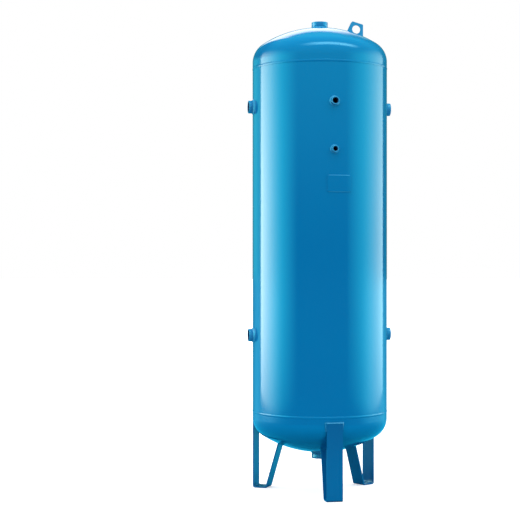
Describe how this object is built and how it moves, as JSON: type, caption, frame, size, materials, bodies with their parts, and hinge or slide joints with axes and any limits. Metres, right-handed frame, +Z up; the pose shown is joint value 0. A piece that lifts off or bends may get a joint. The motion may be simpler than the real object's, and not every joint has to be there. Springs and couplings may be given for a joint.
{
  "type": "air receiver tank",
  "caption": "Vertical welded air receiver: a cylinder with dished heads and threaded sockets, a lifting lug and a nameplate bracket, standing on bent flat-bar legs.",
  "frame": {"origin": "on the vessel axis at floor level, which is the centre of the circle of anchor holes at the undersides of the feet", "axes": "+Z up along the vessel axis; -Y is the front, where the gauge and switch sockets and the nameplate bracket are; +X is the right side seen from the front, where the lifting lug stands"},
  "size_m": [0.646, 0.622, 2.1034],
  "materials": {
    "vessel_paint": "gloss sky-blue enamel over steel",
    "socket_paint": "gloss sky-blue enamel over machined steel",
    "weld_paint": "gloss sky-blue enamel over rippled weld beads"
  },
  "bodies": {
    "root": {"shell": "vessel_paint", "upper_head": "vessel_paint", "lower_head": "vessel_paint", "shell_seam_weld": "weld_paint", "upper_girth_weld": "weld_paint", "lower_girth_weld": "weld_paint", "nameplate_bracket": "vessel_paint", "nameplate_bracket_upper_weld": "weld_paint", "nameplate_bracket_lower_weld": "weld_paint", "top_socket": "socket_paint", "top_socket_weld": "weld_paint", "drain_socket": "socket_paint", "drain_socket_weld": "weld_paint", "left_upper_socket": "socket_paint", "left_upper_socket_weld": "weld_paint", "left_lower_socket": "socket_paint", "left_lower_socket_weld": "weld_paint", "right_upper_socket": "socket_paint", "right_upper_socket_weld": "weld_paint", "right_lower_socket": "socket_paint", "right_lower_socket_weld": "weld_paint", "gauge_socket": "socket_paint", "gauge_socket_weld": "weld_paint", "switch_socket": "socket_paint", "switch_socket_weld": "weld_paint", "front_leg": "vessel_paint", "front_leg_strip_weld": "weld_paint", "front_leg_brace_weld": "weld_paint", "right_rear_leg": "vessel_paint", "right_rear_leg_strip_weld": "weld_paint", "right_rear_leg_brace_weld": "weld_paint", "left_rear_leg": "vessel_paint", "left_rear_leg_strip_weld": "weld_paint", "left_rear_leg_brace_weld": "weld_paint", "lifting_lug": "vessel_paint", "lifting_lug_weld": "weld_paint"}
  },
  "joints": []
}
